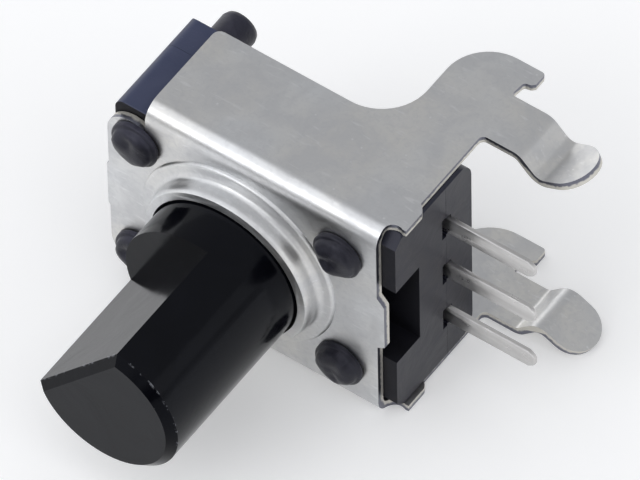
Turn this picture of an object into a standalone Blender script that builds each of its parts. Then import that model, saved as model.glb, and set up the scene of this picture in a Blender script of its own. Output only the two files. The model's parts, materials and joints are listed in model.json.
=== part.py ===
"""Horizontal rotary encoder: a plastic D-shaft in a staked stack of sheet bracket, housing and base.

Shapes are written in millimetres about the shaft axis, where it leaves the front of the bracket:
+X points the way the terminals leave, -Y out along the shaft, +Z up. PLACE then moves the whole
object so that the middle of its underside is the origin, and MM turns millimetres into metres.
"""

import math

import bmesh
import bpy
from mathutils import Vector
from mathutils.geometry import delaunay_2d_cdt

MM = 0.001
GAP = 0.03  # clearance between neighbouring pieces
WELD = 0.0005  # corners nearer than this after a Boolean are one corner

# Bracket, one bent sheet
SHEET = 0.3
HALF_HEIGHT = 5.05
BEND_RADIUS = 0.75
FRONT_RIGHT = 5.8
FRONT_LEFT = -5.5
PLATE_LEFT = -3.88
PLATE_RIGHT = 6.25
PLATE_REAR = 4.32
SEAT_X = 6.52  # the edges that sit on the circuit board
REAR_ARM = 9.1
NECK_X = 3.6  # left edge of the arm that carries the leg
ARM_ROUND = 1.75
NECK_ROUND = 1.88
LEG_NEAR = 5.67
LEG_FAR = 7.69
LEG_BEND_X = 7.5
LEG_TIP_X = 10.25
LOBE_RADIUS = 1.0
TAB_RIGHT = (-0.95, 1.6, 0.3)  # carrier stub: from z, to z, how far it stands out
TAB_LEFT = (-1.3, 0.9, 0.08)

# Collar drawn out of the front plate
COLLAR_LENGTH = 0.9
COLLAR_RADIUS = 3.47
COLLAR_FOOT_RADIUS = 4.05
COLLAR_FOOT = 0.13

# Shaft
SHAFT_RADIUS = 3.0
BORE_RADIUS = 3.08
SHAFT_LENGTH = 8.1
FLAT_LENGTH = 5.6
FLAT_DISTANCE = 1.5
FLAT_ANGLE = math.radians(139.8)  # the way the flat faces at rest, about the axis from +X to +Z
TIP_CHAMFER = 0.3
DETENTS = 15
FLANGE_RADIUS = 4.05
FLANGE_FRONT = 1.95
FLANGE_BACK = 2.6
DETENT_DEPTH = 0.12
HUB_RADIUS = 1.5
HUB_END = 3.62
PIVOT_RADIUS = 1.2
PIVOT_END = 4.3

# Housing and base
BODY_LEFT = -5.38
BODY_RIGHT = 6.37
BODY_HALF_HEIGHT = HALF_HEIGHT - SHEET - GAP
SHELF_HALF_HEIGHT = 4.3
SHELF_RIGHT = -3.7
BODY_FRONT = SHEET + GAP
PARTING = 3.3
BODY_BACK = 4.85
BACK_ROUND = 0.9
CAVITY_RADIUS = 4.2
CAVITY_FRONT = 1.3
WELL_RADIUS = 3.9
WELL_FLOOR = 3.88
WINDOW_DEPTH = 1.6
WINDOW_BACK = 1.72
WINDOW_HALF = 1.95

# Stake pins through the stack
PIN_X = 4.25
PIN_Z = 3.03
PIN_RADIUS = 0.6
HEAD_RADIUS = 0.91
HEAD_HEIGHT = 0.6
HEAD_CROWN = 0.24
TAIL_RADIUS = 0.75
TAIL_END = 6.25

# Terminals and wipers
PITCH = 2.5
TERMINAL_WIDTH = 0.8
TERMINAL_THICKNESS = 0.2
TERMINAL_FRONT = 3.38
TERMINAL_TIP = 10.0
TERMINAL_INNER = {"a": 2.1, "c": 3.2, "b": 2.1}
TERMINAL_Z = {"a": PITCH, "c": 0.0, "b": -PITCH}
TERMINAL_INNER_Z = {"a": 1.85, "c": 0.0, "b": -1.85}  # nearer the middle, to clear the pins
TERMINAL_JOG = (4.98, 5.25)
TERMINAL_INNER_WIDTH = 0.7
WIPER_LENGTH = 1.6
WIPER_THICKNESS = 0.12
CODE_FRONT = FLANGE_BACK + GAP
CODE_BACK = CODE_FRONT + 0.2

PLACE = Vector((
    -(FRONT_LEFT - TAB_LEFT[2] + LEG_TIP_X) / 2,
    -(REAR_ARM - SHAFT_LENGTH) / 2,
    HALF_HEIGHT,
))


def material(name, colour, roughness, metallic=0.0):
    made = bpy.data.materials.new(name)
    made.use_nodes = True
    shader = made.node_tree.nodes["Principled BSDF"]
    shader.inputs["Base Color"].default_value = (*colour, 1.0)
    shader.inputs["Roughness"].default_value = roughness
    shader.inputs["Metallic"].default_value = metallic
    return made


def add_object(name, mesh, look=None):
    obj = bpy.data.objects.new(name, mesh)
    bpy.context.scene.collection.objects.link(obj)
    if look is not None:
        mesh.materials.append(look)
    return obj


def mesh_of(name, points, faces):
    """A mesh from points in millimetres, welded, with its faces turned outwards."""
    mesh = bpy.data.meshes.new(name)
    shape = bmesh.new()
    corners = [shape.verts.new((Vector(p) + PLACE) * MM) for p in points]
    for face in faces:
        shape.faces.new([corners[i] for i in face])
    bmesh.ops.remove_doubles(shape, verts=shape.verts, dist=1e-8)
    bmesh.ops.recalc_face_normals(shape, faces=shape.faces)
    shape.to_mesh(mesh)
    shape.free()
    return mesh


def prism(name, outline, low, high, along):
    """The outline, as pairs of coordinates, pushed from low to high along the axis named."""
    place = {
        "x": lambda a, b, c: (c, a, b),
        "y": lambda a, b, c: (a, c, b),
        "z": lambda a, b, c: (a, b, c),
    }[along]
    count = len(outline)
    points = [place(a, b, level) for level in (low, high) for a, b in outline]
    faces = [tuple(range(count)), tuple(range(count, 2 * count))]
    faces += [(i, (i + 1) % count, count + (i + 1) % count, count + i) for i in range(count)]
    return mesh_of(name, points, faces)


def arc(centre, radius, start, end, steps):
    """Points from the start angle to the end angle, in degrees."""
    turns = [math.radians(start + (end - start) * i / steps) for i in range(steps + 1)]
    return [(centre[0] + radius * math.cos(t), centre[1] + radius * math.sin(t)) for t in turns]


def circle(centre, radius, steps=64, phase=0.0):
    return arc(centre, radius, phase, 360 + phase, steps)[:-1]


def lathe(name, profile, centre=(0.0, 0.0), steps=64):
    """(radius, y) pairs turned about an axis along Y. A profile that starts and ends off the
    axis closes on itself, as a ring."""
    points, faces, rows = [], [], []
    for radius, y in profile:
        if radius == 0:
            rows.append([len(points)] * steps)
            points.append((centre[0], y, centre[1]))
            continue
        rows.append(range(len(points), len(points) + steps))
        points += [(a, y, b) for a, b in circle(centre, radius, steps)]
    is_ring = profile[0][0] > 0
    for i in range(len(rows) if is_ring else len(rows) - 1):
        near, far = rows[i], rows[(i + 1) % len(rows)]
        for k in range(steps):
            n = (k + 1) % steps
            corners = dict.fromkeys((near[k], near[n], far[n], far[k]))
            if len(corners) > 2:
                faces.append(tuple(corners))
    return mesh_of(name, points, faces)


def weld(mesh):
    """Closes up the hairline edges that a Boolean can leave."""
    shape = bmesh.new()
    shape.from_mesh(mesh)
    bmesh.ops.remove_doubles(shape, verts=shape.verts, dist=WELD * MM)
    bmesh.ops.dissolve_degenerate(shape, edges=shape.edges, dist=WELD * MM)
    shape.to_mesh(mesh)
    shape.free()


def combine(obj, mesh, operation):
    """Applies one Boolean with the mesh, and removes the mesh."""
    other = add_object("cutter", mesh)
    other.hide_render = True
    other.display_type = "WIRE"
    modifier = obj.modifiers.new(operation.title(), "BOOLEAN")
    modifier.operation = operation
    modifier.object = other
    graph = bpy.context.evaluated_depsgraph_get()
    result = bpy.data.meshes.new_from_object(obj.evaluated_get(graph))
    obj.modifiers.clear()
    weld(result)
    obj.data = result
    bpy.data.objects.remove(other)


def smooth(obj, degrees=35):
    for polygon in obj.data.polygons:
        polygon.use_smooth = True
    obj.data.set_sharp_from_angle(angle=math.radians(degrees))


def move_origin_to_axis(obj):
    """Puts the object's origin on the shaft axis without moving its surface."""
    home = PLACE * MM
    for vertex in obj.data.vertices:
        vertex.co -= home
    obj.location = home


# ---------------------------------------------------------------- bracket

FLAT_HALF = HALF_HEIGHT - BEND_RADIUS
BEND_ARC = BEND_RADIUS * math.pi / 2
LEG_TURNS = ((-45.0, 0.5), (71.0, 0.55))  # degrees and mid-sheet radius of the two leg bends
LEG_DROP = 0.6  # straight run between the two bends


def unrolled(y):
    """Where a place on a side plate lies on the flat blank, from the middle of the front plate."""
    return FLAT_HALF + BEND_ARC + y - BEND_RADIUS


def leg_frame(run):
    """Mid-sheet (x, drop, angle) at a distance past the start of the leg's first bend."""
    x, z, angle = 0.0, 0.0, 0.0
    stages = [(*LEG_TURNS[0], 0.0), (0.0, 0.0, LEG_DROP), (*LEG_TURNS[1], 0.0), (0.0, 0.0, 9.0)]
    for turn, radius, straight in stages:
        length = straight if turn == 0 else abs(math.radians(turn)) * radius
        part = min(run, length)
        if turn == 0:
            x += part * math.cos(angle)
            z += part * math.sin(angle)
        else:
            side = math.copysign(1.0, turn)
            after = angle + side * part / radius
            x += side * radius * (math.sin(after) - math.sin(angle))
            z -= side * radius * (math.cos(after) - math.cos(angle))
            angle = after
        run -= part
        if run <= 0:
            break
    return x, z, angle


def bent(x, s, depth):
    """The place of a point of the blank, a given depth below the sheet's outer face."""
    side = math.copysign(1.0, s)
    beyond = abs(s) - FLAT_HALF
    if beyond <= 0:
        return x, depth, s
    if beyond < BEND_ARC:
        turn = beyond / BEND_RADIUS
        reach = BEND_RADIUS - depth
        return x, BEND_RADIUS - reach * math.cos(turn), side * (FLAT_HALF + reach * math.sin(turn))
    y = BEND_RADIUS + beyond - BEND_ARC
    z = HALF_HEIGHT - depth
    if x > LEG_BEND_X:
        along, drop, angle = leg_frame(x - LEG_BEND_X)
        lift = SHEET / 2 - depth
        x = LEG_BEND_X + along - lift * math.sin(angle)
        z = HALF_HEIGHT - SHEET / 2 + drop + lift * math.cos(angle)
    return x, y, side * z


def leg_blank_end():
    """How far out the leg's tip lies on the blank, so that it ends at LEG_TIP_X once bent."""
    low, high = 0.0, 8.0
    for _ in range(40):
        middle = (low + high) / 2
        if LEG_BEND_X + leg_frame(middle)[0] < LEG_TIP_X:
            low = middle
        else:
            high = middle
    return LEG_BEND_X + low


def side_outline():
    """Half of the blank's edge, as (x, y) on the side plate, from the front right to the left."""
    half_leg = (LEG_FAR - LEG_NEAR) / 2
    tip = leg_blank_end() - half_leg
    edge = [(FRONT_RIGHT, 0.15)]
    edge += arc((6.2, 0.42), 0.4, 180, 60, 8)
    edge += [(SEAT_X, 0.78), (SEAT_X, 1.72), (SEAT_X - 0.08, 1.86), (PLATE_RIGHT, 2.05)]
    edge += arc((PLATE_RIGHT + 0.22, LEG_NEAR - 0.22), 0.22, 180, 90, 5)
    edge += [(LEG_BEND_X, LEG_NEAR)]
    edge += arc((tip, LEG_NEAR + half_leg), half_leg, -90, 90, 16)
    edge += [(LEG_BEND_X, LEG_FAR)]
    edge += arc((PLATE_RIGHT - 0.02, LEG_FAR + 0.15), 0.15, 270, 180, 4)
    edge += arc((PLATE_RIGHT + 0.02, 8.22), 0.15, 180, 110, 4)
    edge += [(SEAT_X - 0.12, 8.4), (SEAT_X, 8.52), (SEAT_X, 8.98)]
    edge += arc((SEAT_X - 0.12, REAR_ARM - 0.12), 0.12, 0, 90, 3)
    edge += arc((NECK_X + ARM_ROUND, REAR_ARM - ARM_ROUND), ARM_ROUND, 90, 180, 12)
    edge += arc((NECK_X - NECK_ROUND, PLATE_REAR + NECK_ROUND), NECK_ROUND, 0, -90, 12)
    edge += arc((PLATE_LEFT + 0.3, PLATE_REAR - 0.3), 0.3, 90, 180, 4)
    return edge


def lobe_outline():
    """The upper left ear round a stake, as (x, z) on the front plate."""
    ear = arc((FRONT_LEFT + LOBE_RADIUS, PIN_Z - 0.05), LOBE_RADIUS, 55, 180, 12)
    return [(PLATE_LEFT, PIN_Z + 0.72)] + ear


def bracket_blank():
    """The whole outline of the flat blank, as (x, s), going round once."""
    upper = [(x, unrolled(y)) for x, y in side_outline()]
    upper += lobe_outline()
    lower = [(x, -s) for x, s in reversed(upper)]
    left = [(FRONT_LEFT, TAB_LEFT[1] + 0.1), (FRONT_LEFT - TAB_LEFT[2], TAB_LEFT[1])]
    left += [(FRONT_LEFT - TAB_LEFT[2], TAB_LEFT[0]), (FRONT_LEFT, TAB_LEFT[0] - 0.1)]
    right = [(FRONT_RIGHT, TAB_RIGHT[0] - 0.2), (FRONT_RIGHT + TAB_RIGHT[2], TAB_RIGHT[0])]
    right += [(FRONT_RIGHT + TAB_RIGHT[2], TAB_RIGHT[1] - 0.35), (FRONT_RIGHT, TAB_RIGHT[1])]
    return upper + left + lower + right


def bend_lines():
    """Lines across the blank that the sheet is folded along, as pairs of ends."""
    lines = []
    for side in (-1, 1):
        for k in range(9):
            s = side * (FLAT_HALF + BEND_ARC * k / 8)
            lines.append(((-7.0, s), (7.0, s)))
        lengths = [abs(math.radians(turn)) * radius for turn, radius in LEG_TURNS]
        starts = (LEG_BEND_X, LEG_BEND_X + lengths[0] + LEG_DROP)
        near, far = side * unrolled(LEG_NEAR - 0.2), side * unrolled(LEG_FAR + 0.2)
        for start, length in zip(starts, lengths):
            for k in range(7):
                x = start + length * k / 6
                lines.append(((x, near), (x, far)))
    return lines


def folded_sheet(name, outline):
    """The blank cut into triangles between its bend lines, given its thickness and folded."""
    coords = [Vector(p) for p in outline]
    edges = [(i, (i + 1) % len(outline)) for i in range(len(outline))]
    for ends in bend_lines():
        edges.append((len(coords), len(coords) + 1))
        coords += [Vector(p) for p in ends]
    loop = [list(range(len(outline)))]
    flat, _, triangles, _, _, faces_of = delaunay_2d_cdt(coords, edges, loop, 0, 1e-6)
    kept = [t for t, owners in zip(triangles, faces_of) if owners]
    used = sorted({i for t in kept for i in t})
    index = {old: new for new, old in enumerate(used)}
    count = len(used)
    points = [bent(flat[i].x, flat[i].y, depth) for depth in (0.0, SHEET) for i in used]
    faces, rims = [], {}
    for triangle in kept:
        a, b, c = (index[i] for i in triangle)
        faces += [(a, b, c), (count + c, count + b, count + a)]
        for pair in ((a, b), (b, c), (c, a)):
            if pair[::-1] in rims:
                del rims[pair[::-1]]
            else:
                rims[pair] = True
    faces += [(b, a, count + a, count + b) for a, b in rims]
    return mesh_of(name, points, faces)


def collar_boss():
    """The drawn collar as a solid boss: a low foot, a fillet and the tube with a rounded lip."""
    fillet = arc((COLLAR_RADIUS + 0.25, -COLLAR_FOOT - 0.25), 0.25, 180, 90, 5)
    foot = arc((COLLAR_FOOT_RADIUS - COLLAR_FOOT, 0.0), COLLAR_FOOT, -90, 0, 5)
    profile = [(0.0, -COLLAR_LENGTH), (COLLAR_RADIUS - 0.1, -COLLAR_LENGTH)]
    profile += arc((COLLAR_RADIUS - 0.1, -COLLAR_LENGTH + 0.1), 0.1, -60, 0, 3)
    profile += fillet + foot
    profile += [(COLLAR_FOOT_RADIUS, SHEET / 2), (0.0, SHEET / 2)]
    return lathe("collar", profile)


def make_bracket(look):
    obj = add_object("bracket", folded_sheet("bracket", bracket_blank()), look)
    combine(obj, collar_boss(), "UNION")
    bore = prism("bore", circle((0, 0), BORE_RADIUS, phase=2.8), -COLLAR_LENGTH - 1, 1, "y")
    combine(obj, bore, "DIFFERENCE")
    for centre in pin_centres().values():
        hole = prism("hole", circle(centre, PIN_RADIUS + GAP, 24), -1, 1, "y")
        combine(obj, hole, "DIFFERENCE")
    smooth(obj, 40)


# ---------------------------------------------------------------- housing, base and pins


def pin_centres():
    return {
        "upper_left": (-PIN_X, PIN_Z),
        "lower_left": (-PIN_X, -PIN_Z),
        "upper_right": (PIN_X, PIN_Z),
        "lower_right": (PIN_X, -PIN_Z),
    }


def body_outline():
    """The housing and base seen along the shaft: full height between the bracket's side plates,
    and lower with rounded edges where the body stands out past them on the left."""
    edge_round = 0.45
    corner = (BODY_LEFT + edge_round, SHELF_HALF_HEIGHT - edge_round)
    top = [(BODY_RIGHT, BODY_HALF_HEIGHT - 0.1), (BODY_RIGHT - 0.1, BODY_HALF_HEIGHT)]
    top += [(SHELF_RIGHT + 0.1, BODY_HALF_HEIGHT), (SHELF_RIGHT, SHELF_HALF_HEIGHT)]
    top += arc(corner, edge_round, 90, 180, 6)
    return top + [(x, -z) for x, z in reversed(top)]


def body_solid(name, side_view, look):
    """The body's outline pushed along Y, kept only where the side view (y, z) allows it."""
    obj = add_object(name, prism(name, body_outline(), -1, 7, "y"), look)
    combine(obj, prism("side", side_view, -8, 8, "x"), "INTERSECT")
    return obj


def cut_cylinder(obj, centre, radius, front, back, steps=64):
    combine(obj, prism("cutter", circle(centre, radius, steps), front, back, "y"), "DIFFERENCE")


def cut_box(obj, x, y, z):
    outline = [(x[0], z[0]), (x[1], z[0]), (x[1], z[1]), (x[0], z[1])]
    combine(obj, prism("cutter", outline, y[0], y[1], "y"), "DIFFERENCE")


def make_housing(look):
    chamfer = BEND_RADIUS - SHEET + 0.1
    half = BODY_HALF_HEIGHT + 0.1
    side = [(BODY_FRONT, half - chamfer), (BODY_FRONT + chamfer, half), (PARTING, half)]
    side += [(y, -z) for y, z in reversed(side)]
    obj = body_solid("housing", side, look)
    cut_cylinder(obj, (0, 0), BORE_RADIUS, -2, 2)
    cut_cylinder(obj, (0, 0), CAVITY_RADIUS, CAVITY_FRONT, 5)
    for centre in pin_centres().values():
        cut_cylinder(obj, centre, PIN_RADIUS + GAP, -2, 6, 24)
    window = (BODY_RIGHT - WINDOW_DEPTH, BODY_RIGHT + 1)
    cut_box(obj, window, (-1, WINDOW_BACK), (-WINDOW_HALF, WINDOW_HALF))
    half = TERMINAL_WIDTH / 2 + 0.12
    pocket = (BODY_RIGHT - 0.3, BODY_RIGHT + 1)
    for z in TERMINAL_Z.values():
        cut_box(obj, pocket, (PARTING - 0.2, 5), (z - half, z + half))
    smooth(obj)


def make_base(look):
    half = BODY_HALF_HEIGHT + 0.1
    side = [(PARTING + GAP, half)]
    side += arc((BODY_BACK - BACK_ROUND, BODY_HALF_HEIGHT - BACK_ROUND), BACK_ROUND, 90, 0, 8)
    side.insert(1, (BODY_BACK - BACK_ROUND, half))
    side += [(y, -z) for y, z in reversed(side)]
    obj = body_solid("base", side, look)
    cut_cylinder(obj, (0, 0), WELL_RADIUS, 2, WELL_FLOOR)
    cut_cylinder(obj, (0, 0), PIVOT_RADIUS + 0.05, 2, PIVOT_END + 0.1, 48)
    for centre in pin_centres().values():
        cut_cylinder(obj, centre, PIN_RADIUS + GAP, 2, 7, 24)
    depth = (2, TERMINAL_FRONT + TERMINAL_THICKNESS + GAP)
    for key, z in TERMINAL_Z.items():
        half = TERMINAL_WIDTH / 2 + GAP
        cut_box(obj, (TERMINAL_JOG[0] - GAP, 9), depth, (z - half, z + half))
        z = TERMINAL_INNER_Z[key]
        half = TERMINAL_INNER_WIDTH / 2 + GAP
        cut_box(obj, (TERMINAL_INNER[key], TERMINAL_JOG[1] + GAP), depth, (z - half, z + half))
    smooth(obj)


def make_pin(name, centre, look):
    """A moulded pin with a domed head on the bracket and a round end behind the base."""
    front = -GAP
    back = BODY_BACK + GAP
    top = front - HEAD_HEIGHT
    profile = [(0.0, top), (HEAD_RADIUS * 0.5, top + 0.03), (HEAD_RADIUS * 0.82, top + 0.11)]
    profile += [(HEAD_RADIUS, top + HEAD_CROWN), (HEAD_RADIUS, front), (PIN_RADIUS, front)]
    profile += [(PIN_RADIUS, back), (TAIL_RADIUS, back), (TAIL_RADIUS, TAIL_END - 0.25)]
    profile += [(TAIL_RADIUS * 0.9, TAIL_END - 0.08), (TAIL_RADIUS * 0.7, TAIL_END), (0.0, TAIL_END)]
    smooth(add_object(name, lathe(name, profile, centre, 32), look))


# ---------------------------------------------------------------- shaft and what turns with it


def toothed_flange():
    """The rotor's disc, with a shallow dip in its front face at each detent."""
    steps = DETENTS * 6
    points, faces = [], []
    for k in range(steps):
        turn = 2 * math.pi * k / steps
        dip = DETENT_DEPTH * (0.5 + 0.5 * math.cos(DETENTS * turn)) ** 2
        for radius, y in (
            (HUB_RADIUS - 0.4, FLANGE_FRONT + DETENT_DEPTH + 0.05),
            (SHAFT_RADIUS - 0.3, FLANGE_FRONT + DETENT_DEPTH + 0.05),
            (SHAFT_RADIUS + 0.1, FLANGE_FRONT + dip),
            (FLANGE_RADIUS, FLANGE_FRONT + dip),
            (FLANGE_RADIUS, FLANGE_BACK),
            (HUB_RADIUS - 0.4, FLANGE_BACK),
        ):
            points.append((radius * math.cos(turn), y, radius * math.sin(turn)))
    for k in range(steps):
        a, b = 6 * k, 6 * ((k + 1) % steps)
        faces += [(a + i, b + i, b + (i + 1) % 6, a + (i + 1) % 6) for i in range(6)]
    return mesh_of("flange", points, faces)


def make_shaft(look):
    tip = -SHAFT_LENGTH
    profile = [(0.0, tip), (SHAFT_RADIUS - TIP_CHAMFER, tip), (SHAFT_RADIUS, tip + TIP_CHAMFER)]
    profile += [(SHAFT_RADIUS, FLANGE_FRONT + 0.3), (HUB_RADIUS, FLANGE_FRONT + 0.3)]
    profile += [(HUB_RADIUS, HUB_END), (PIVOT_RADIUS, HUB_END), (PIVOT_RADIUS, PIVOT_END - 0.15)]
    profile += [(PIVOT_RADIUS - 0.15, PIVOT_END), (0.0, PIVOT_END)]
    obj = add_object("shaft", lathe("shaft", profile, steps=72), look)
    combine(obj, toothed_flange(), "UNION")
    combine(obj, flat_cutter(), "DIFFERENCE")
    smooth(obj)
    move_origin_to_axis(obj)


def flat_cutter():
    """What is cut away for the D: a slab along the shaft, wider by the chamfer at the tip."""
    outward = Vector((math.cos(FLAT_ANGLE), math.sin(FLAT_ANGLE)))
    across = Vector((-outward.y, outward.x))
    tip = -SHAFT_LENGTH
    shoulder = tip + FLAT_LENGTH
    levels = [
        (FLAT_DISTANCE - TIP_CHAMFER - 0.1, tip - 0.1),
        (FLAT_DISTANCE, tip + TIP_CHAMFER),
        (FLAT_DISTANCE, shoulder),
        (SHAFT_RADIUS + 1, shoulder),
        (SHAFT_RADIUS + 1, tip - 0.1),
    ]
    points = []
    for side in (-4, 4):
        for distance, y in levels:
            spot = outward * distance + across * side
            points.append((spot.x, y, spot.y))
    count = len(levels)
    faces = [tuple(range(count)), tuple(range(count, 2 * count))]
    faces += [(i, (i + 1) % count, count + (i + 1) % count, count + i) for i in range(count)]
    return mesh_of("flat", points, faces)


def make_code_disc(look):
    """The stamped contact disc: a common ring with one finger for each detent step."""
    outline = []
    finger = 2 * math.pi / DETENTS
    corners = ((0.0, 2.7), (0.06, 3.7), (0.25, 3.72), (0.44, 3.7), (0.5, 2.7), (0.75, 2.7))
    for k in range(DETENTS):
        for share, radius in corners:
            turn = finger * (k + share)
            outline.append((radius * math.cos(turn), radius * math.sin(turn)))
    obj = add_object("code_disc", prism("code_disc", outline, CODE_FRONT, CODE_BACK, "y"), look)
    cut_cylinder(obj, (0, 0), HUB_RADIUS + GAP, CODE_FRONT - 1, CODE_BACK + 1, 48)
    smooth(obj)
    move_origin_to_axis(obj)


# ---------------------------------------------------------------- fixed parts inside


def make_detent_spring(look):
    """A leaf ring on the housing's front wall, with two bumps that ride the rotor's dips."""
    thickness = 0.15
    rest = CAVITY_FRONT + GAP
    rise = FLANGE_FRONT - GAP - rest - thickness
    steps = 96
    points, faces = [], []
    for k in range(steps):
        turn = 2 * math.pi * k / steps
        nearest = abs(math.cos(turn))
        bump = max(0.0, (nearest - 0.8) / 0.2)
        y = rest + rise * bump * bump * (3 - 2 * bump)
        for radius, level in ((3.2, y), (4.0, y), (4.0, y + thickness), (3.2, y + thickness)):
            points.append((radius * math.cos(turn), level, radius * math.sin(turn)))
    for k in range(steps):
        a, b = 4 * k, 4 * ((k + 1) % steps)
        faces += [(a + i, b + i, b + (i + 1) % 4, a + (i + 1) % 4) for i in range(4)]
    smooth(add_object("detent_spring", mesh_of("detent_spring", points, faces), look))


def make_thrust_washer(look):
    back = WELL_FLOOR - GAP
    front = HUB_END + GAP
    inner = PIVOT_RADIUS + 0.05
    profile = [(inner, front), (1.9, front), (1.9, back), (inner, back)]
    smooth(add_object("thrust_washer", lathe("thrust_washer", profile, steps=40), look))


def make_terminal(key, look):
    """A flat strip from the well in the base out to its chamfered tip."""
    half = TERMINAL_WIDTH / 2
    inner_half = TERMINAL_INNER_WIDTH / 2
    z = TERMINAL_Z[key]
    inner_z = TERMINAL_INNER_Z[key]
    outline = []
    for side in (1, -1):
        edge = [(TERMINAL_INNER[key], inner_z + side * inner_half)]
        leads = side * z >= 0
        edge.append((TERMINAL_JOG[0 if leads else 1], inner_z + side * inner_half))
        edge.append((TERMINAL_JOG[0 if leads else 1] + 0.1, z + side * half))
        edge.append((TERMINAL_TIP - 0.28, z + side * half))
        edge.append((TERMINAL_TIP - 0.06, z + side * (half - 0.16)))
        edge.append((TERMINAL_TIP, z + side * (half - 0.26)))
        outline += edge[::side]
    back = TERMINAL_FRONT + TERMINAL_THICKNESS
    name = f"terminal_{key}"
    obj = add_object(name, prism(name, outline, TERMINAL_FRONT, back, "y"), look)
    edge = obj.modifiers.new("Bevel", "BEVEL")
    edge.width = 0.05 * MM
    edge.segments = 2
    edge.limit_method = "ANGLE"
    edge.angle_limit = math.radians(60)
    smooth(obj)


def make_wiper(key, look):
    """A springy leaf from its terminal to just short of the contact disc."""
    z = TERMINAL_INNER_Z[key]
    start = TERMINAL_INNER[key] + 0.5
    root = TERMINAL_FRONT - GAP
    toe = CODE_BACK + GAP + WIPER_THICKNESS
    end = start - WIPER_LENGTH
    path = [(start, root), (start - 0.45, root), (end + 0.4, toe), (end, toe + 0.12)]
    outline = path + [(x, y - WIPER_THICKNESS) for x, y in reversed(path)]
    name = f"wiper_{key}"
    smooth(add_object(name, prism(name, outline, z - 0.3, z + 0.3, "z"), look))


def main():
    for obj in list(bpy.data.objects):
        bpy.data.objects.remove(obj)
    make_bracket(material("tin_plate", (0.72, 0.72, 0.71), 0.28, 1.0))
    make_housing(material("housing_plastic", (0.035, 0.04, 0.06), 0.42))
    make_base(material("base_plastic", (0.03, 0.033, 0.045), 0.45))
    pin_look = material("pin_plastic", (0.045, 0.048, 0.06), 0.4)
    for name, centre in pin_centres().items():
        make_pin(f"stake_pin_{name}", centre, pin_look)
    make_shaft(material("shaft_plastic", (0.006, 0.006, 0.007), 0.14))
    make_code_disc(material("contact_metal", (0.78, 0.66, 0.42), 0.3, 1.0))
    make_detent_spring(material("spring_steel", (0.55, 0.55, 0.56), 0.3, 1.0))
    make_thrust_washer(material("washer_plastic", (0.8, 0.79, 0.75), 0.5))
    terminal_look = material("terminal_tin", (0.7, 0.7, 0.69), 0.3, 1.0)
    wiper_look = material("wiper_bronze", (0.72, 0.5, 0.32), 0.32, 1.0)
    for key in TERMINAL_Z:
        make_terminal(key, terminal_look)
        make_wiper(key, wiper_look)


main()
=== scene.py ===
"""Looks of a small horizontal rotary encoder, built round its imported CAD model.

Lengths named below are in millimetres and are turned into metres by MM. Every piece that shows is
a finished copy of its CAD solid: corners joined, edges rounded and round surfaces smooth.
"""

import json
import math

import bmesh
import bpy
from mathutils import Matrix, Vector, noise

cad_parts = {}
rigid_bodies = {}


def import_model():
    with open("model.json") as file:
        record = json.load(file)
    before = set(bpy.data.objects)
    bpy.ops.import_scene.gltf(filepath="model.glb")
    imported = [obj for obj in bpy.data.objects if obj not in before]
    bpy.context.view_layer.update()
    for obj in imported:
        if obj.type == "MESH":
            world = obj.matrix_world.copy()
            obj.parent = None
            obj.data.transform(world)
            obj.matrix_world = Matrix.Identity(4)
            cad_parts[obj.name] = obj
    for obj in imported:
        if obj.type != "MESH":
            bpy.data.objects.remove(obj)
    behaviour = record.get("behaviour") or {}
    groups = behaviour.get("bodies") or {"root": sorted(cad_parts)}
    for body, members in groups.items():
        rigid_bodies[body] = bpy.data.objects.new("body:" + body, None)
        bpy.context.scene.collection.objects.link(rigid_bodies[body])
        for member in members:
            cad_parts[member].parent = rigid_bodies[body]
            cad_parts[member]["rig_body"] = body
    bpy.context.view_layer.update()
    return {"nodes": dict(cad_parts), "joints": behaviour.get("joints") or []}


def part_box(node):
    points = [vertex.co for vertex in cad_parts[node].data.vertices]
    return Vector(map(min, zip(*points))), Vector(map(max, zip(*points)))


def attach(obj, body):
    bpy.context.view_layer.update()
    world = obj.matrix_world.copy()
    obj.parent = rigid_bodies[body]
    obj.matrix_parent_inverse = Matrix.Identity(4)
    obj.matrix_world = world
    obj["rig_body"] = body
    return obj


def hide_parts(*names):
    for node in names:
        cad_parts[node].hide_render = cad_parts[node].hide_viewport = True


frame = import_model()

MM = 0.001
AXIS = Vector(frame["joints"][0]["pos_m"])  # where the shaft's axis leaves the front plate
HALF_HEIGHT = AXIS.z / MM

# Camera, aimed at a point this far right of, above and in front of the axis point
AZIMUTH = math.radians(36.26)
ELEVATION = math.radians(52.07)
ROLL = math.radians(-1.2256)
DISTANCE = 526.0
LENS = 861.0
AIM_RIGHT = 2.835
AIM_UP = 0.449
AIM_FORWARD = 0.1

# Studio, in metres
SOFTBOX_DISTANCE = 1.1  # further out than the camera
FLOOR_HALF = 3.0
FLOOR_GAP = 0.00001  # keeps the floor clear of the faces that rest on it

# All solids
JOIN_WITHIN = 0.0002  # corners closer than this are one corner
FLAT_WITHIN = 0.6  # degrees between faces that are one flat face
SLACK = 0.01  # how close a place counts as the same

# Bracket, about the axis point
BEND_RADIUS = 0.75
COLLAR_RADIUS = 4.3  # nothing inside this counts as a sheared edge
LIP_RADIUS = 3.37  # where the collar's flat lip starts to round over
LIP_WIDTH = 0.1  # of the rounded part
LIP_FRONT = -0.75  # the lip is all that lies further forward
OUTER_SHARE = 0.55  # a face is on the sheet's outer side if this much of its normal is outward

# Housing
WINDOW_DEPTH = 1.6
WINDOW_BACK = 1.72
WINDOW_HALF = 1.95
JOINT_CLOSED = 0.8  # share of the gap to the base that the rear rim closes
SHEEN_STARTS = -3.5  # along X, where the painted sheen (a bluish painted reflection) on the plastic starts to show
SHEEN_FULL = -5.5

# Shaft
TIP_CHAMFER = 0.3

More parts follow.
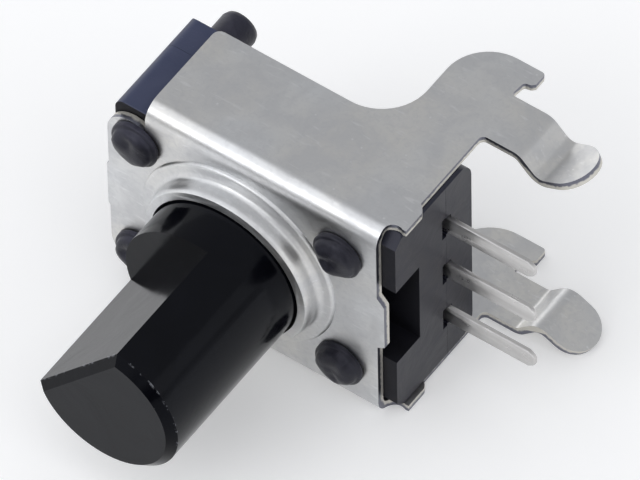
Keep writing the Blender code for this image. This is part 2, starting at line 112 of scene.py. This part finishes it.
# Stake pins
PIN_RADIUS = 0.6
PIN_STEPS = 40
PLATE_GAP = 0.03  # between a head and the plate under it
HEAD_RIM = 0.2  # a head keeps its shape this near the plate
DIMPLE_OFFSET = 0.35
DIMPLE_RADIUS = 0.2


# ---------------------------------------------------------------- materials


class Nodes:
    """The node tree of a material or a world, with one short call for each kind of node."""

    def __init__(self, owner):
        owner.use_nodes = True
        self.tree = owner.node_tree

    def node(self, kind, inputs, **settings):
        """A node with these settings, its inputs set to a value or linked to another's output."""
        node = self.tree.nodes.new(kind)
        for key, value in settings.items():
            setattr(node, key, value)
        for key, value in inputs.items():
            if isinstance(value, bpy.types.NodeSocket):
                self.tree.links.new(value, node.inputs[key])
            else:
                node.inputs[key].default_value = value
        return node

    def maths(self, operation, first, second):
        return self.node("ShaderNodeMath", {0: first, 1: second}, operation=operation).outputs[0]

    def spread(self, value, low, high, first, last, **settings):
        """The value mapped from one range to another, and held within it."""
        inputs = {"Value": value, "From Min": low, "From Max": high, "To Min": first, "To Max": last}
        return self.node("ShaderNodeMapRange", inputs, **settings).outputs["Result"]

    def part(self, vector, axis):
        """One part, X, Y or Z, of a vector."""
        return self.node("ShaderNodeSeparateXYZ", {0: vector}).outputs[axis]


class Finish(Nodes):
    """A material. Its textures are laid out by place on the object, in millimetres."""

    def __init__(self, name, **constants):
        self.material = bpy.data.materials.new(name)
        super().__init__(self.material)
        self.shader = self.tree.nodes["Principled BSDF"]
        for key, value in constants.items():
            self.shader.inputs[key.replace("_", " ")].default_value = value
        place = self.tree.nodes.new("ShaderNodeTexCoord").outputs["Object"]
        self.place = self.times(place, (1 / MM, 1 / MM, 1 / MM))

    def times(self, vector, scale):
        """The vector with each of its parts scaled."""
        inputs = {0: vector, 1: scale}
        return self.node("ShaderNodeVectorMath", inputs, operation="MULTIPLY").outputs[0]

    def clouds(self, scale, detail=3.0, stretch=(1, 1, 1), twist=0.0):
        """Soft noise with about this many features to a millimetre."""
        inputs = {"Vector": self.times(self.place, stretch), "Scale": scale, "Detail": detail}
        return self.node("ShaderNodeTexNoise", {**inputs, "Distortion": twist}).outputs["Fac"]

    def cells(self, scale):
        """Distance from the nearest of many scattered points."""
        inputs = {"Vector": self.place, "Scale": scale}
        return self.node("ShaderNodeTexVoronoi", inputs).outputs["Distance"]

    def mix(self, share, first, last, blend="MIX"):
        """A colour that goes from the first to the last as the share goes from 0 to 1. With ADD,
        the last is laid over the first."""
        inputs = {0: share, 6: colour_of(first), 7: colour_of(last)}
        return self.node("ShaderNodeMix", inputs, data_type="RGBA", blend_type=blend).outputs[2]

    def relief(self, height, depth, under=None):
        """Bumps of this depth, on top of another relief if one is given."""
        inputs = {"Height": height, "Distance": depth * MM, "Strength": 1.0}
        if under is not None:
            inputs["Normal"] = under
        return self.node("ShaderNodeBump", inputs).outputs["Normal"]

    def made(self, colour, roughness=None, normal=None):
        """The finished material, with what is given linked to its shader."""
        named = (("Base Color", colour), ("Roughness", roughness), ("Normal", normal))
        for key, value in named:
            if value is not None:
                self.tree.links.new(value, self.shader.inputs[key])
        return self.material


def colour_of(value):
    """A plain colour with full alpha, or another node's output as it is."""
    return (*value, 1.0) if isinstance(value, tuple) else value


def tin_plate(name, rough):
    """Bright tin on sheet steel: slightly wavy, stained in clouds, scuffed and finely mottled."""
    tin = Finish(name, Metallic=1.0)
    waves = tin.clouds(0.5, 2.0)
    clouds = tin.clouds(0.55, 5.0, twist=0.8)
    tint = tin.clouds(0.22, 2.0)
    mottle = tin.clouds(5.0, 5.0, twist=0.6)
    scuffs = tin.clouds(3.0, 4.0, stretch=(0.5, 2.2, 2.2), twist=0.3)
    specks = tin.spread(tin.cells(1.5), 0.03, 0.08, 1.0, 0.0)
    clean = tin.mix(tin.spread(tint, 0.4, 0.6, 0.0, 1.0), (0.70, 0.69, 0.665), (0.675, 0.685, 0.695))
    colour = tin.mix(tin.spread(clouds, 0.4, 0.62, 0.0, 0.8), clean, (0.585, 0.59, 0.60))
    colour = tin.mix(tin.spread(mottle, 0.45, 0.75, 0.0, 0.45), colour, (0.54, 0.545, 0.56))
    colour = tin.mix(tin.spread(scuffs, 0.6, 0.72, 0.0, 0.42), colour, (0.82, 0.82, 0.83))
    colour = tin.mix(tin.maths("MULTIPLY", specks, 0.5), colour, (0.88, 0.88, 0.9))
    shine = tin.spread(tin.maths("ADD", clouds, mottle), 0.75, 1.25, rough - 0.06, rough + 0.06)
    normal = tin.relief(waves, 0.04)
    normal = tin.relief(mottle, 0.0018, normal)
    normal = tin.relief(scuffs, 0.0012, normal)
    return tin.made(colour, shine, normal)


def cut_edge():
    """The sheared edge of the sheet: dark and burnished next to the outer face, and a torn, paler
    band below. The attribute `depth` runs from 0 at the outer face to 1 at the inner one."""
    edge = Finish("cut_edge", Metallic=1.0)
    depth = edge.node("ShaderNodeAttribute", {}, attribute_name="depth").outputs["Fac"]
    streaks = edge.clouds(6.0, 3.0)
    ragged = edge.maths("ADD", depth, edge.spread(streaks, 0.3, 0.7, -0.12, 0.12))
    torn = edge.spread(ragged, 0.4, 0.62, 0.0, 1.0)
    colour = edge.mix(torn, (0.16, 0.165, 0.2), (0.66, 0.64, 0.59))
    rough = edge.spread(torn, 0.0, 1.0, 0.3, 0.55)
    return edge.made(colour, rough, edge.relief(streaks, 0.006))


def moulded(name, dark, light, rough, grain=0.003, scale=0.7, painted_sheen=(0.0, 0.0, 0.0)):
    """Filled plastic: fine grain, flow marks, a few pale specks, and a painted sheen: a bluish
    colour added to the upward faces of its left side, which stands in for a reflection."""
    plastic = Finish(name, IOR=1.33, Specular_Tint=(0.88, 0.88, 1.0, 1.0))
    flow = plastic.clouds(scale, 4.0, twist=0.8)
    fine = plastic.clouds(14.0, 3.0)
    specks = plastic.spread(plastic.cells(2.6), 0.03, 0.07, 1.0, 0.0)
    colour = plastic.mix(plastic.spread(flow, 0.35, 0.65, 0.0, 1.0), dark, light)
    colour = plastic.mix(plastic.maths("MULTIPLY", specks, 0.1), colour, (0.3, 0.32, 0.36))
    # painted sheen: a bluish colour added on upward faces towards the left, standing in for a
    # reflection of the sky
    facing = plastic.node("ShaderNodeNewGeometry", {}).outputs["Normal"]
    upward = plastic.spread(plastic.part(facing, "Z"), 0.1, 0.9, 0.0, 1.0)
    across = plastic.part(plastic.place, "X")
    leftward = plastic.spread(across, SHEEN_STARTS, SHEEN_FULL, 0.15, 1.0)
    colour = plastic.mix(plastic.maths("MULTIPLY", upward, leftward), colour, painted_sheen, "ADD")
    roughness = plastic.spread(flow, 0.3, 0.7, rough - 0.06, rough + 0.08)
    normal = plastic.relief(flow, 0.03)
    normal = plastic.relief(fine, grain, normal)
    return plastic.made(colour, roughness, normal)


def shaft_black(name, ior, glint_share):
    """Black acetal, glossy from the mould, with painted glints: pale spots along the edge of its tip
    that stand in for highlights.
    """
    plastic = Finish(name, IOR=ior, Specular_Tint=(0.86, 0.9, 1.0, 1.0))
    flow = plastic.clouds(0.45, 3.0, twist=1.0)
    fine = plastic.clouds(9.0, 3.0)
    tone = plastic.spread(flow, 0.3, 0.7, 0.0, 1.0)
    colour = plastic.mix(tone, (0.0012, 0.0013, 0.0022), (0.0024, 0.0026, 0.0042))
    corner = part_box("shaft")[0].y / MM + TIP_CHAMFER
    beside = plastic.maths("SUBTRACT", plastic.part(plastic.place, "Y"), corner)
    near = plastic.spread(plastic.maths("ABSOLUTE", beside, 0.0), 0.02, 0.045, 1.0, 0.0)
    # painted highlight: pale spots near the tip's edge stand in for glints
    painted_glints = plastic.spread(plastic.clouds(5.0, 4.0), 0.54, 0.62, 0.0, glint_share)
    painted_glints = plastic.maths("MULTIPLY", painted_glints, near)
    colour = plastic.mix(painted_glints, colour, (0.3, 0.31, 0.34))
    rough = plastic.spread(plastic.maths("ADD", flow, fine), 0.7, 1.3, 0.1, 0.18)
    normal = plastic.relief(flow, 0.012)
    normal = plastic.relief(fine, 0.0004, normal)
    return plastic.made(colour, rough, normal)


def drawn_metal(name, colour):
    """Plated or bare strip with soft lines drawn along X."""
    strip = Finish(name, Metallic=1.0)
    lines = strip.clouds(4.0, 3.0, stretch=(0.1, 1, 1))
    mottle = strip.clouds(2.5, 3.0)
    darker = tuple(c * 0.86 for c in colour)
    shade = strip.mix(strip.spread(lines, 0.35, 0.65, 0.0, 1.0), darker, colour)
    rough = strip.spread(mottle, 0.3, 0.7, 0.26, 0.4)
    normal = strip.relief(mottle, 0.008)
    normal = strip.relief(lines, 0.003, normal)
    return strip.made(shade, rough, normal)


# ---------------------------------------------------------------- pieces


def joined_copy(node):
    """The CAD solid's mesh with its corners joined and its flat areas made whole, as a bmesh."""
    shape = bmesh.new()
    shape.from_mesh(frame["nodes"][node].data)
    bmesh.ops.remove_doubles(shape, verts=shape.verts, dist=JOIN_WITHIN * MM)
    limit = math.radians(FLAT_WITHIN)
    bmesh.ops.dissolve_limit(shape, angle_limit=limit, verts=shape.verts, edges=shape.edges)
    return shape


def piece(node, shape, looks, edge=0.0, sharp=35, segments=2):
    """Turns the bmesh into the object that stands for a CAD node. Edges past `sharp` degrees stay
    sharp, and are rounded to the width `edge` where one is given."""
    mesh = bpy.data.meshes.new(node + "_look")
    shape.normal_update()
    shape.to_mesh(mesh)
    shape.free()
    for name in ("custom_normal", "sharp_edge", "sharp_face"):
        if name in mesh.attributes:
            mesh.attributes.remove(mesh.attributes[name])
    for look in looks:
        mesh.materials.append(look)
    obj = bpy.data.objects.new(node + "_look", mesh)
    bpy.context.scene.collection.objects.link(obj)
    mesh.shade_smooth()
    mesh.set_sharp_from_angle(angle=math.radians(sharp))
    if edge:
        rounding = obj.modifiers.new("Rounding", "BEVEL")
        rounding.width = edge * MM
        rounding.segments = segments
        rounding.limit_method = "ANGLE"
        rounding.angle_limit = math.radians(sharp)
        rounding.harden_normals = True
        rounding.miter_outer = "MITER_ARC"
    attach(obj, frame["nodes"][node]["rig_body"])
    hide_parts(node)


def outward(place):
    """The way the bracket's outer face looks at a place, given from the axis point."""
    side = math.copysign(1.0, place.z)
    if place.y > BEND_RADIUS:
        return Vector((0, 0, side))
    rest = place - Vector((place.x, BEND_RADIUS, side * (HALF_HEIGHT - BEND_RADIUS)))
    return rest.normalized() if rest.z * side > 0 else Vector((0, -1, 0))


def mark_cut_edges(shape):
    """Gives the sheet's sheared faces the second material, the drawn collar the third, and every
    corner its `depth`."""
    depth = shape.verts.layers.float.new("depth")
    for corner in shape.verts:
        corner[depth] = 1.0
    for face in shape.faces:
        place = (face.calc_center_median() - AXIS) / MM
        share = face.normal.dot(outward(place))
        if share > OUTER_SHARE:
            for corner in face.verts:
                corner[depth] = 0.0
        elif share > -OUTER_SHARE and math.hypot(place.x, place.z) > COLLAR_RADIUS:
            face.material_index = 1
        if place.y < -SLACK:
            face.material_index = 2


def soften_lip(shape):
    """Draws the outer edge of the collar's lip back, so that it rolls over into its side."""
    for corner in shape.verts:
        place = (corner.co - AXIS) / MM
        share = (math.hypot(place.x, place.z) - LIP_RADIUS) / LIP_WIDTH
        if place.y < LIP_FRONT and -0.5 < share < 1.5:
            corner.co.y += (0.05 + 0.25 * share * share) * MM


def bracket_shape():
    """The bracket with its lip softened and its sheared edges marked."""
    shape = joined_copy("bracket")
    soften_lip(shape)
    shape.normal_update()
    mark_cut_edges(shape)
    return shape


def housing_shape():
    """The housing pushed up against the base, its window and front ledge in the second material."""
    shape = joined_copy("housing")
    shape.normal_update()
    right, rear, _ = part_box("housing")[1]
    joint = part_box("base")[0].y
    for corner in shape.verts:
        if abs(corner.co.y - rear) < SLACK * MM:
            corner.co.y += JOINT_CLOSED * (joint - rear)
    for face in shape.faces:
        place = (face.calc_center_median() - Vector((right, AXIS.y, AXIS.z))) / MM
        in_window = (
            abs(place.z) < WINDOW_HALF + SLACK
            and place.y < WINDOW_BACK + SLACK
            and -WINDOW_DEPTH - SLACK < place.x < -SLACK
        )
        if in_window or face.normal.y < -0.9:
            face.material_index = 1
    return shape


def shaft_shape():
    """The shaft, its slanting tip faces in the second material: a copy of the same black that
    reflects less, as painted shade.
    """
    shape = joined_copy("shaft")
    shape.normal_update()
    for face in shape.faces:
        if -0.95 < face.normal.y < -0.4:
            face.material_index = 1
    return shape


def ring(shape, centre, level, radii):
    """A loop of corners round a centre, one radius for each, at a level along Y."""
    count = len(radii)
    turns = [2 * math.pi * k / count for k in range(count)]
    offsets = [Vector((math.cos(t), 0, math.sin(t))) * r for t, r in zip(turns, radii)]
    return [shape.verts.new((centre + offset + Vector((0, level, 0))) * MM) for offset in offsets]


def pin_shape(node, seed):
    """A pin whose head was spread by a hot tool: lumpy, a little off round, with a small dimple."""
    low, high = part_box(node)
    middle = (low + high) / 2 / MM
    centre = Vector((middle.x, 0, middle.z))
    dimple = Vector((math.cos(seed), 0, math.sin(seed))) * DIMPLE_OFFSET
    front, back = low.y / MM, high.y / MM
    under = AXIS.y / MM - PLATE_GAP
    head = ((0.1, 0.04), (0.2, 0.02), (0.32, 0.01), (0.44, 0.02), (0.56, 0.05), (0.67, 0.1))
    head += ((0.77, 0.18), (0.82, 0.27), (0.84, 0.36), (0.87, 0.385), (0.93, 0.4), (0.965, 0.45))
    profile = [(radius, front + depth) for radius, depth in head]
    profile += [(0.95, under), (PIN_RADIUS, under), (PIN_RADIUS, back - 1.4), (0.73, back - 1.36)]
    profile += [(0.74, back - 0.25), (0.68, back - 0.08), (0.5, back), (0.2, back)]
    shape = bmesh.new()
    rings = []
    for radius, level in profile:
        soft = min(max((under - level) / 0.3, 0.0), 1.0) * min(radius / PIN_RADIUS, 1.0)
        radii = []
        for k in range(PIN_STEPS):
            turn = 2 * math.pi * k / PIN_STEPS
            spot = Vector((math.cos(turn), level, math.sin(turn))) * 0.9 + Vector((seed, 0, 0))
            wobble = 0.1 * noise.noise(spot) + 0.05 * noise.noise(spot * 2.6)
            radii.append(radius * (1 + wobble * soft))
        rings.append(ring(shape, centre, level, radii))
    for near, far in zip(rings, rings[1:]):
        for k in range(PIN_STEPS):
            n = (k + 1) % PIN_STEPS
            shape.faces.new((near[k], near[n], far[n], far[k]))
    shape.faces.new(rings[0][::-1])
    shape.faces.new(rings[-1])
    for corner in shape.verts:
        height = under - corner.co.y / MM
        if height > HEAD_RIM:
            spot = corner.co / MM * 1.5 + Vector((0, seed, 0))
            apart = (corner.co / MM - centre - dimple).xz
            hollow = 0.1 * math.exp(-((apart.length / DIMPLE_RADIUS) ** 2))
            lump = 0.04 + 0.1 * noise.noise(spot) + hollow
            corner.co.y += lump * min((height - HEAD_RIM) / 0.3, 1.0) * MM
    bmesh.ops.recalc_face_normals(shape, faces=shape.faces)
    return shape


def build_pieces():
    """Every piece with its materials, in the order sheet, plastic, shaft and inner parts."""
    tin = tin_plate("tin_plate", 0.36)
    collar = tin_plate("tin_collar", 0.42)
    edge = cut_edge()
    piece("bracket", bracket_shape(), [tin, edge, collar], 0.05)

    # dark and light plastic tones, then the painted sheen added on upward faces
    dark, light, painted_sheen = (0.013, 0.013, 0.018), (0.022, 0.022, 0.029), (0.033, 0.042, 0.083)
    housing = moulded("housing_plastic", dark, light, 0.36, painted_sheen=painted_sheen)
    shadow = moulded("housing_shadow", (0.0035, 0.0035, 0.005), (0.006, 0.006, 0.009), 0.6)
    piece("housing", housing_shape(), [housing, shadow], 0.07)

    # the third colour is again the painted sheen
    dark, light, painted_sheen = (0.012, 0.012, 0.017), (0.021, 0.021, 0.028), (0.032, 0.041, 0.081)
    piece("base", joined_copy("base"), [moulded("base_plastic", dark, light, 0.38, painted_sheen=painted_sheen)], 0.06)

    # for the stake pins the third colour is a faint painted sheen
    dark, light, painted_sheen = (0.008, 0.008, 0.012), (0.024, 0.024, 0.032), (0.014, 0.014, 0.022)
    pins = moulded("pin_plastic", dark, light, 0.36, 0.006, 1.6, painted_sheen)
    for seed, name in enumerate(("upper_left", "lower_left", "upper_right", "lower_right")):
        node = "stake_pin_" + name
        piece(node, pin_shape(node, 7.3 * seed + 1.7), [pins], sharp=60)

    # the chamfer copy reflects less than the main black, a painted shade on the tip's slanting faces
    black = [shaft_black("shaft_black", 1.25, 0.5), shaft_black("shaft_chamfer", 1.17, 0.3)]
    piece("shaft", shaft_shape(), black, 0.06, segments=3)

    strip = drawn_metal("terminal_tin", (0.65, 0.64, 0.63))
    bronze = drawn_metal("wiper_bronze", (0.75, 0.5, 0.33))
    for key in "acb":
        piece("terminal_" + key, joined_copy("terminal_" + key), [strip])
        piece("wiper_" + key, joined_copy("wiper_" + key), [bronze])
    contact = drawn_metal("contact_metal", (0.8, 0.68, 0.42))
    piece("code_disc", joined_copy("code_disc"), [contact])
    steel = drawn_metal("spring_steel", (0.6, 0.6, 0.61))
    piece("detent_spring", joined_copy("detent_spring"), [steel])
    nylon = moulded("washer_plastic", (0.6, 0.58, 0.52), (0.7, 0.68, 0.62), 0.5)
    piece("thrust_washer", joined_copy("thrust_washer"), [nylon])


# ---------------------------------------------------------------- floor, light and camera


def add_floor():
    """A plain pale floor that glows a little, so that it stays near white past the shadow."""
    mesh = bpy.data.meshes.new("floor")
    signs = ((-1, -1), (1, -1), (1, 1), (-1, 1))
    corners = [Vector((x * FLOOR_HALF, y * FLOOR_HALF, 0)) for x, y in signs]
    mesh.from_pydata(corners, [], [(0, 1, 2, 3)])
    look = Finish("floor_white", Roughness=0.6, Specular_IOR_Level=0.2, Emission_Strength=0.2)
    tone = look.clouds(0.01, 2.0)
    mesh.materials.append(look.made(look.mix(tone, (0.90, 0.90, 0.90), (0.93, 0.93, 0.93))))
    obj = bpy.data.objects.new("floor", mesh)
    obj.location.z = -FLOOR_GAP
    bpy.context.scene.collection.objects.link(obj)


def add_softbox(name, toward, size, radiance):
    """A rectangular area light that faces the object from the direction given."""
    lamp = bpy.data.lights.new(name, "AREA")
    lamp.shape = "RECTANGLE"
    lamp.size, lamp.size_y = size
    lamp.energy = radiance * math.pi * size[0] * size[1]
    obj = bpy.data.objects.new(name, lamp)
    direction = Vector(toward).normalized()
    obj.location = AXIS + direction * SOFTBOX_DISTANCE
    obj.rotation_euler = direction.to_track_quat("Z", "Y").to_euler()
    bpy.context.scene.collection.objects.link(obj)


def add_light():
    """A studio that is bright in front of the object and overhead, and dimmer behind it down to a
    bright horizon. It has a dark beam overhead, a dark skirt low down in front and a dark curtain
    on the front right."""
    world = bpy.data.worlds.new("studio")
    bpy.context.scene.world = world
    sky = Nodes(world)
    direction = sky.tree.nodes.new("ShaderNodeTexCoord").outputs["Generated"]
    toward = {axis: sky.part(direction, axis) for axis in "XYZ"}
    maths = sky.maths

    def ramp(axis, low, high, first=0.0, last=1.0):
        """A level that goes smoothly from first to last, as the direction goes from low to high."""
        value = toward[axis]
        return sky.spread(value, low, high, first, last, interpolation_type="SMOOTHSTEP")

    general = ramp("Y", 0.42, -0.1, 0.54, 1.25)
    beam = maths("MULTIPLY", ramp("Y", -0.08, 0.06), ramp("Y", 0.34, 0.2))
    beam = maths("MULTIPLY", beam, ramp("Z", 0.6, 0.8))
    skirt = maths("MULTIPLY", ramp("Z", 0.3, 0.18), ramp("Y", -0.5, -0.7))
    curtain = maths("MULTIPLY", ramp("X", 0.15, 0.4), ramp("Y", -0.3, -0.6))
    curtain = maths("MULTIPLY", curtain, ramp("Z", 0.26, 0.42))
    dark = maths("MAXIMUM", maths("MULTIPLY", beam, 0.62), maths("MULTIPLY", skirt, 0.95))
    shade = maths("SUBTRACT", 1.0, maths("MAXIMUM", dark, maths("MULTIPLY", curtain, 0.8)))
    horizon = maths("MULTIPLY", ramp("Z", 0.16, 0.03, 0.0, 0.5), ramp("Y", 0.0, 0.3))
    level = maths("ADD", maths("MULTIPLY", general, shade), horizon)
    background = sky.tree.nodes["Background"]
    background.inputs["Color"].default_value = colour_of((0.985, 0.995, 1.02))
    sky.tree.links.new(level, background.inputs["Strength"])

    add_softbox("front_left", (-0.36, -0.79, 0.52), (0.5, 0.34), 2.4)
    add_softbox("left", (-0.85, 0.5, 0.22), (0.5, 0.4), 0.85)
    add_softbox("right", (0.79, 0.5, 0.36), (0.3, 0.3), 0.3)


def add_camera():
    """A long lens that looks down on the object from the front right, rolled a little."""
    flat = math.cos(ELEVATION)
    back = Vector((math.sin(AZIMUTH) * flat, -math.cos(AZIMUTH) * flat, math.sin(ELEVATION)))
    level = Vector((math.cos(AZIMUTH), math.sin(AZIMUTH), 0))
    upright = back.cross(level)
    right = level * math.cos(ROLL) + upright * math.sin(ROLL)
    up = upright * math.cos(ROLL) - level * math.sin(ROLL)
    aim = AXIS + (right * AIM_RIGHT + up * AIM_UP - Vector((0, AIM_FORWARD, 0))) * MM
    lens = bpy.data.cameras.new("camera")
    lens.lens = LENS
    lens.clip_start = 0.02
    lens.clip_end = 20
    obj = bpy.data.objects.new("camera", lens)
    obj.matrix_world = Matrix((right, up, back)).transposed().to_4x4()
    obj.location = aim + back * DISTANCE * MM
    bpy.context.scene.collection.objects.link(obj)
    bpy.context.scene.camera = obj


build_pieces()
add_floor()
add_light()
add_camera()
bpy.context.scene.view_settings.view_transform = "Standard"
